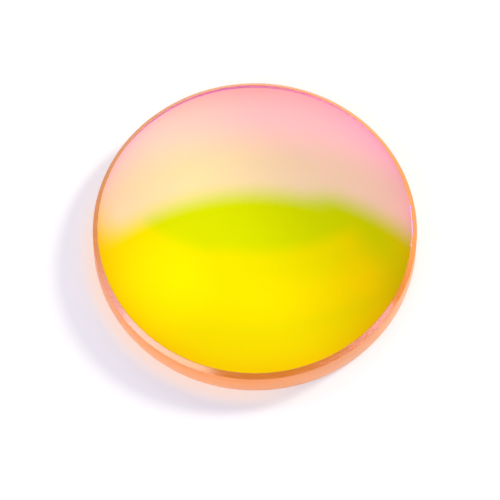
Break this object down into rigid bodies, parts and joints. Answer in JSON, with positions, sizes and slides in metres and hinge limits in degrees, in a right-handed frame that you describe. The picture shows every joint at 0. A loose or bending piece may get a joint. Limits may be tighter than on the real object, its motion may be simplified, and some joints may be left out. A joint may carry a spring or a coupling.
{
  "type": "laser focusing lens",
  "caption": "Round plano-convex lens of amber zinc selenide, with a gently domed face, a flat face and a ground, bevelled edge, for focusing a carbon dioxide laser.",
  "frame": {"origin": "centre of the flat face, where the optical axis leaves the lens", "axes": "+Z along the optical axis, from the flat face towards the convex face"},
  "size_m": [0.02, 0.02, 0.003],
  "materials": {
    "zinc_selenide": "clear amber-yellow zinc selenide, both faces polished and anti-reflection coated, edge and bevels fine-ground"
  },
  "bodies": {
    "root": {"lens": "zinc_selenide"}
  },
  "joints": []
}
